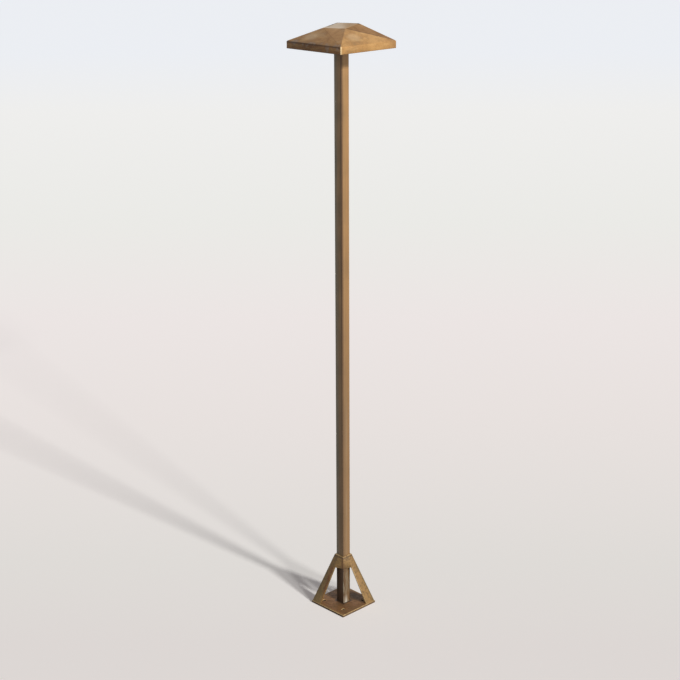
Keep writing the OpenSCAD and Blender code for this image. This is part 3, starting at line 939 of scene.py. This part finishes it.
# %% [markdown]
# Under the crown a square boss takes the end of the stem head, and two grub screws hold it there.
# The boss stops inside the crown's wall, so its top is tipped like the crown before they unite.

# %% Add the boss under the crown
BOSS_SIDE = 26 * MM
BOSS_GRIP = 11 * MM
BOSS_EDGE = 1 * MM
TENON_ROOM = 15.3 * MM
GRUB_HOLE = 4.2 * MM

tenon_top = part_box("stem_head")[1].z
boss_z = tenon_top - BOSS_GRIP
boss_top = crown_z - HAT_WALL / 2
boss = square_bar(BOSS_SIDE, boss_z, boss_top)
pick("FACE", is_top)
tip_crown((0, 0, boss_top))
round_edges(BOSS_EDGE, 3, is_upright)
round_edges(BOSS_EDGE / 2, 2, at_height(boss_z))
join_solid(hat, boss, "UNION")
join_solid(hat, square_bar(TENON_ROOM, boss_z - PAST, tenon_top), "DIFFERENCE")
for side in (-1, 1):
    middle = (0, side * 5 * MM, tenon_top - BOSS_GRIP / 2)
    drill(hat, middle, (0, side, 0), (GRUB_HOLE, 0), (GRUB_HOLE, 15 * MM))
finish_piece(hat, "hat_casting", "hat_shell", "hat", "aged_brass", hat_brass)

# %% [markdown]
# ## The stem
# The stem is drawn square tube. Drawing leaves small even radii along its four edges, where light
# and dirt draw thin lines, so the long edges are rounded before the tube is bored out. Near its
# top the tube is countersunk for the two screws that hold the stem head.

# %% Shape the tube
STEM_WALL = 1.6 * MM
STEM_EDGE = 1 * MM
SMALL_HOLE = 3.2 * MM
SMALL_SINK = 5.6 * MM
HEAD_SCREW_DOWN = 4.5 * MM

stem = block(stem_low, stem_high)
print("long edges", round_edges(STEM_EDGE, 4, is_upright))
wall = Vector((STEM_WALL, STEM_WALL, -PAST))
join_solid(stem, block(stem_low + wall, stem_high - wall), "DIFFERENCE")
for side in (-1, 1):
    face = (0, side * stem_high.y, stem_high.z - HEAD_SCREW_DOWN)
    drill(
        stem, face, (0, -side, 0),
        (SMALL_SINK, -0.2 * MM), (SMALL_HOLE, 1.2 * MM), (SMALL_HOLE, 4 * MM),
    )
finish_piece(stem, "stem_tube", "stem", "root", "aged_brass", stem_brass)

# %% [markdown]
# ## The brace
# The brace is an open pyramid in one casting. Two legs stand on opposite corners of the plate and
# lean in to a square collar. Each leg is an angle: two wings that meet in a ridge and narrow
# upwards. A square bar whose top face is moved and scaled follows the leg, and a second one is cut
# out of its inner side, so the wings keep an even thickness. The other leg is a copy.

# %% Describe a leg
WING_FOOT = 30 * MM
WING_HEAD = 17 * MM

foot_half = brace_high.x
collar_half = COLLAR_SIDE / 2


def rise_to(z):
    """How far up the brace a height is, from 0 to 1."""
    return (z - brace_low.z) / (brace_high.z - brace_low.z)


def outer_at(z):
    """Where a leg's outer faces are at a height."""
    return foot_half + (collar_half - foot_half) * rise_to(z)


def wing_at(z):
    """How wide a wing is at a height."""
    return WING_FOOT + (WING_HEAD - WING_FOOT) * rise_to(z)


def leaning_square(low, high, outer_in, inner_out):
    """A bar between two heights that follows the leg, thinner or wider by these margins."""
    (foot, foot_side), (head, head_side) = (
        (outer_at(z) - wing_at(z) - inner_out, wing_at(z) + inner_out - outer_in)
        for z in (low, high)
    )
    bar = block((foot, foot, low), (foot + foot_side, foot + foot_side, high))
    pick("FACE", is_top)
    share = head_side / foot_side
    bpy.ops.transform.resize(value=(share, share, 1), center_override=(foot, foot, high))
    bpy.ops.transform.translate(value=(head - foot, head - foot, 0))
    return bar


print("wing at the foot", round(wing_at(brace_low.z) / MM, 1), "mm")

# %% Shape one leg
WING_THICK = 5 * MM
LEG_EDGE = 1.2 * MM
PAD_SIDE = 12 * MM
PAD_HEIGHT = 10 * MM
spare = 3 * MM

leg = leaning_square(brace_low.z - spare, brace_high.z, 0, 0)
hollow = leaning_square(brace_low.z - PAST, brace_high.z + PAST, WING_THICK, 3 * spare)
join_solid(leg, hollow, "DIFFERENCE")


def is_leg_edge(a, b):
    """True for all edges but those at the plate and the one inside the angle."""
    inside = all(abs(v.x - v.y) < NEAR and abs(v.x - outer_at(v.z)) > 2 * MM for v in (a, b))
    return max(a.z, b.z) > brace_low.z and not inside


open_again(leg)
print("leg edges", round_edges(LEG_EDGE, 3, is_leg_edge, 30))
pad_middle = foot_half - WING_THICK - PAD_SIDE / 2
pad = block(
    (pad_middle - PAD_SIDE / 2,) * 2 + (brace_low.z - spare / 2,),
    (pad_middle + PAD_SIDE / 2 + 1 * MM,) * 2 + (brace_low.z + PAD_HEIGHT,),
)
join_solid(leg, pad, "UNION")
print("leg", size_of(leg))

# %% [markdown]
# The collar is square at the top and flares below to the wings of both legs, so that the metal
# runs smoothly from one into the other. A thin plate gives the flare: its front and back corners
# are cut off by upright planes. A hull over this plate and a square one makes the collar.

# %% Shape the collar
COLLAR_HEIGHT = 34 * MM
RIDGE_EDGE = 2.4 * MM
COLLAR_EDGE = 0.8 * MM
inset = 0.5 * MM

collar_z = brace_high.z - COLLAR_HEIGHT
flare_half = outer_at(collar_z) - inset
flare_wing = wing_at(collar_z) - 2 * inset
wing_edge = flare_half - flare_wing
brace = square_bar(2 * flare_half, collar_z, collar_z + 1 * MM)
for normal in (
    Vector((wing_edge + collar_half, collar_half - flare_half, 0)),
    Vector((flare_half - collar_half, -wing_edge - collar_half, 0)),
):
    for side in (1, -1):
        bpy.ops.mesh.select_all(action="SELECT")
        bpy.ops.mesh.bisect(
            plane_co=Vector((collar_half, -collar_half, 0)) * side, plane_no=normal * side,
            use_fill=True, clear_outer=True,
        )
top_side = COLLAR_SIDE - 0.6 * MM
top_z = brace_high.z - 0.9 * MM
bpy.ops.mesh.primitive_cube_add(
    size=top_side, location=(0, 0, top_z), scale=(1, 1, 1 * MM / top_side))
wrap_hull()
print("ridges", round_edges(
    RIDGE_EDGE, 2, lambda a, b: max(abs(a.x - a.y), abs(b.x - b.y)) < NEAR))
print("other edges", round_edges(COLLAR_EDGE, 3, lambda a, b: True, 40))
print("collar", size_of(brace))

# %% Join the legs to the collar
def half_turned(piece):
    """A copy with its own mesh, turned half round the light's axis."""
    other = piece.copy()
    other.data = piece.data.copy()
    bpy.context.scene.collection.objects.link(other)
    choose(other)
    other.matrix_world = Matrix.Rotation(pi, 4, "Z") @ other.matrix_world
    bpy.ops.object.transform_apply(location=True, rotation=True, scale=True)
    return other


other_leg = half_turned(leg)
join_solid(brace, leg, "UNION")
join_solid(brace, other_leg, "UNION")
open_again(brace)
bpy.ops.mesh.select_all(action="SELECT")
bpy.ops.mesh.bisect(
    plane_co=(0, 0, brace_low.z), plane_no=(0, 0, 1), use_fill=True, clear_inner=True)
print("collar and legs, cut level", size_of(brace))

# %% Make room for the tube and the screws
TUBE_PLAY = 0.3 * MM
FRAME_SCREW_HOLE = 5.2 * MM
GRUB_DOWN = 10 * MM

tube_room = square_bar(2 * (stem_high.x + TUBE_PLAY), brace_low.z - PAST, brace_high.z + PAST)
join_solid(brace, tube_room, "DIFFERENCE")
for side in (-1, 1):
    middle = (side * pad_middle, side * pad_middle, brace_low.z)
    drill(brace, middle, (0, 0, 1), (FRAME_SCREW_HOLE, -1 * MM), (FRAME_SCREW_HOLE, 8 * MM))
for way in ((0, 1, 0), (-1, 0, 0)):
    place = Vector(way) * 8 * MM + Vector((0, 0, brace_high.z - GRUB_DOWN))
    drill(brace, place, way, (GRUB_HOLE, 0), (GRUB_HOLE, 14 * MM))
finish_piece(brace, "brace_casting", "brace_frame", "root", "aged_brass", brace_brass)

# %% [markdown]
# ## The base plate
# The plate is flat bar with its top edges bevelled. Four countersunk holes near the corners take
# the anchor bolts, and from below it holds the brace's and the stem's screws and a bushing.

# %% Shape the plate
PLATE_BEVEL = 1.2 * MM
PLATE_UNDER_EDGE = 0.4 * MM
HOLE_WIDTH = 6 * MM
HOLE_SINK = 10 * MM

plate = block(plate_low, plate_high)
round_edges(PLATE_BEVEL, 3, at_height(plate_high.z))
round_edges(PLATE_UNDER_EDGE, 2, at_height(plate_low.z))
over = 0.5 * MM
sink_depth = (HOLE_SINK - HOLE_WIDTH) / 2
through = plate_high.z - plate_low.z + over
for x in (-HOLE_FROM_MIDDLE, HOLE_FROM_MIDDLE):
    for y in (-HOLE_FROM_MIDDLE, HOLE_FROM_MIDDLE):
        drill(
            plate, (x, y, plate_high.z), (0, 0, -1),
            (HOLE_SINK + 2 * over, -over), (HOLE_WIDTH, sink_depth), (HOLE_WIDTH, through),
        )
print("plate with bolt holes", size_of(plate))

# %% Drill the plate from below
BUSHING_HOLE = 11.2 * MM
BUSHING_SEAT = 14.2 * MM
BUSHING_DEPTH = 2.4 * MM
FRAME_SCREW_HEAD = 9.4 * MM
FOOT_SCREW_PLACE = 7.4 * MM
FOOT_SCREW_HEAD = 6 * MM
HEAD_DOWN = 0.4 * MM

drill(
    plate, (0, 0, plate_low.z), (0, 0, 1), (BUSHING_SEAT, -over), (BUSHING_SEAT, BUSHING_DEPTH),
    (BUSHING_HOLE, BUSHING_DEPTH), (BUSHING_HOLE, through),
)
for x, y, hole, head, sink in (
    (pad_middle, pad_middle, FRAME_SCREW_HOLE, FRAME_SCREW_HEAD, 2.8 * MM),
    (FOOT_SCREW_PLACE, -FOOT_SCREW_PLACE, SMALL_HOLE, FOOT_SCREW_HEAD, 1.7 * MM),
):
    for side in (1, -1):
        drill(
            plate, (side * x, side * y, plate_low.z), (0, 0, 1),
            (head, -over), (head, HEAD_DOWN), (hole, HEAD_DOWN + sink), (hole, through),
        )
finish_piece(plate, "base_casting", "base_plate", "root", "aged_brass", plate_brass)

# %% [markdown]
# ## The lamp bracket
# The bracket is a strip of brass sheet, folded up at both ends to carry the sockets. A fold in
# sheet has a soft outer bend, and the tabs' top corners are clipped round so that they don't cut.
# A slot in each tab lets the leads through, and a square hole drops over the tenon.

# %% Fold the bracket
SHEET = 1.5 * MM
BEND = 1.2 * MM
TAB_CORNER = 2 * MM

low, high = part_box("lamp_bracket")
socket_low, socket_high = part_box("socket_right")
bracket = block(low, (high.x, high.y, low.z + SHEET))
for side in (-1, 1):
    tab = block(
        (side * high.x - (side + 1) / 2 * SHEET, socket_low.y, low.z),
        (side * high.x - (side - 1) / 2 * SHEET, socket_high.y, high.z))
    join_solid(bracket, tab, "UNION")


def is_bend(a, b):
    """True for the two lower edges at the strip's ends."""
    return all(abs(v.x) > high.x - NEAR and v.z < low.z + NEAR for v in (a, b))


def is_corner(a, b):
    """True for the short edges at the tabs' top corners."""
    return all(abs(v.y) > socket_high.y - NEAR and v.z > high.z - NEAR for v in (a, b))


open_again(bracket)
print("bends", round_edges(BEND, 4, is_bend), "corners", round_edges(TAB_CORNER, 4, is_corner))
print("folded strip", size_of(bracket))

# %% Cut the bracket's holes
LEAD_SLOT_WIDTH = 8.2 * MM
LEAD_SLOT_REACH = 1.9 * MM
LEAD_SLOT_ROUND = 1.4 * MM
SOCKET_SCREW_PLACE = 8.4 * MM
BRACKET_SCREW_PLACE = 10.2 * MM
SCREW_HOLE = 2.6 * MM

tenon_hole = square_bar(TENON_ROOM, low.z - 1 * MM, low.z + 2 * SHEET)
join_solid(bracket, tenon_hole, "DIFFERENCE")
slot = block(
    (-high.x - 1 * MM, -LEAD_SLOT_WIDTH / 2, lamp_z - LEAD_SLOT_REACH),
    (high.x + 1 * MM, LEAD_SLOT_WIDTH / 2, lamp_z + LEAD_SLOT_REACH))
round_edges(LEAD_SLOT_ROUND, 3, lambda a, b: abs(a.x - b.x) > 5 * MM)
join_solid(bracket, slot, "DIFFERENCE")
for side in (-1, 1):
    place = (side * BRACKET_SCREW_PLACE, 0, low.z)
    drill(bracket, place, (0, 0, 1), (SCREW_HOLE, -1 * MM), (SCREW_HOLE, 3 * MM))
    for y in (-SOCKET_SCREW_PLACE, SOCKET_SCREW_PLACE):
        place = (side * (high.x - SHEET), y, lamp_z)
        drill(bracket, place, (side, 0, 0), (SCREW_HOLE, -1 * MM), (SCREW_HOLE, 3 * MM))
finish_piece(
    bracket, "folded_bracket", "lamp_bracket", "root", "bare_brass", bought["bare_brass"])

# %% [markdown]
# ## The sockets
# A lamp socket is pressed from ceramic powder and fired, so all its edges are soft. Two grooves
# part the middle from the screw ears, and each pin hole has a sunk mouth. One socket is modelled,
# and the other is its copy, turned half round.

# %% Press the sockets
SOCKET_EDGE = 0.8 * MM
PIN_PITCH = 4 * MM
PIN_HOLE = 0.9 * MM
PIN_MOUTH = 2.1 * MM
GROOVE_PLACE = 6 * MM
GROOVE_WIDTH = 1 * MM
GROOVE_DEPTH = 0.6 * MM

socket = block(socket_low, socket_high)
round_edges(SOCKET_EDGE, 3, lambda a, b: True)
face = socket_high.x
for side in (-1, 1):
    groove = block(
        (face - GROOVE_DEPTH, side * GROOVE_PLACE - GROOVE_WIDTH / 2, socket_low.z - 1 * MM),
        (face + 1 * MM, side * GROOVE_PLACE + GROOVE_WIDTH / 2, socket_high.z + 1 * MM))
    join_solid(socket, groove, "DIFFERENCE")
    pin_place = (face, side * PIN_PITCH / 2, lamp_z)
    drill(
        socket, pin_place, (-1, 0, 0),
        (PIN_MOUTH, -0.2 * MM), (PIN_HOLE, 0.5 * MM), (PIN_HOLE, 7 * MM),
    )
    screw_place = (face, side * SOCKET_SCREW_PLACE, lamp_z)
    drill(socket, screw_place, (-1, 0, 0), (SCREW_HOLE, -1 * MM), (SCREW_HOLE, 10 * MM))
for side, piece in (("left", half_turned(socket)), ("right", socket)):
    names = f"pressed_socket_{side}", f"socket_{side}"
    finish_piece(piece, *names, "root", "ceramic", bought["ceramic"])

# %% [markdown]
# ## The lamps
# A lamp is a white moulded base with two pins and a clear cup over the emitters. Two grooves round
# the base give fingers a grip. Base and cup are turned forms, because both come out of round
# moulds, and the left lamp is a copy of the right one.

# %% Turn the lamp's base
BASE_LENGTH = 6 * MM
PIN_LENGTH = 7 * MM
PIN_WIDTH = 0.7 * MM
GRIP_DEPTH = 0.35 * MM

base_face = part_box("lamp_base_right")[1].x - BASE_LENGTH
cover_low, cover_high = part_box("lamp_cover_right")
wide = cover_high.y - cover_low.y
to_right = (1, 0, 0)
profile = [(wide - 1.2 * MM, 0), (wide, 0.6 * MM)]
for groove in (1.4 * MM, 3.2 * MM):
    profile += [
        (wide, groove), (wide - 2 * GRIP_DEPTH, groove + 0.35 * MM),
        (wide - 2 * GRIP_DEPTH, groove + 0.95 * MM), (wide, groove + 1.3 * MM)]
lamp = lathe((base_face, 0, lamp_z), to_right, *profile, (wide, BASE_LENGTH))
for side in (-1, 1):
    pin = lathe(
        (base_face - PIN_LENGTH, side * PIN_PITCH / 2, lamp_z), to_right,
        (PIN_WIDTH / 2, 0), (PIN_WIDTH, PIN_WIDTH / 2), (PIN_WIDTH, PIN_LENGTH + 2 * MM))
    join_solid(lamp, pin, "UNION")
print("lamp base", size_of(lamp))

# %% Turn the clear cup
CUP_WALL = 0.8 * MM
CUP_ROUND = 2 * MM

cup_length = cover_high.x - cover_low.x
straight = cup_length - CUP_ROUND
arc = [radians(15 * n) for n in range(1, 7)]
outer = [(wide, 0), (wide, straight)] + [
    (wide - 2 * CUP_ROUND * (1 - cos(a)), straight + CUP_ROUND * sin(a)) for a in arc]
cup = lathe((cover_low.x, 0, lamp_z), to_right, *outer)
inside = lathe(
    (cover_low.x, 0, lamp_z), to_right, (wide - 2 * CUP_WALL, -1 * MM),
    (wide - 2 * CUP_WALL, straight), (wide - 2 * CUP_ROUND, cup_length - CUP_WALL))
join_solid(cup, inside, "DIFFERENCE")
print("clear cup", size_of(cup))

# %% Make both lamps
for name, node, slot_name, model in (
    ("lamp_body", "lamp_base", "lamp_white", lamp),
    ("clear_cup", "lamp_cover", "lamp_clear", cup),
):
    for side, piece in (("left", half_turned(model)), ("right", model)):
        names = f"{name}_{side}", f"{node}_{side}", f"lamp_{side}"
        finish_piece(piece, *names, slot_name, bought[slot_name])
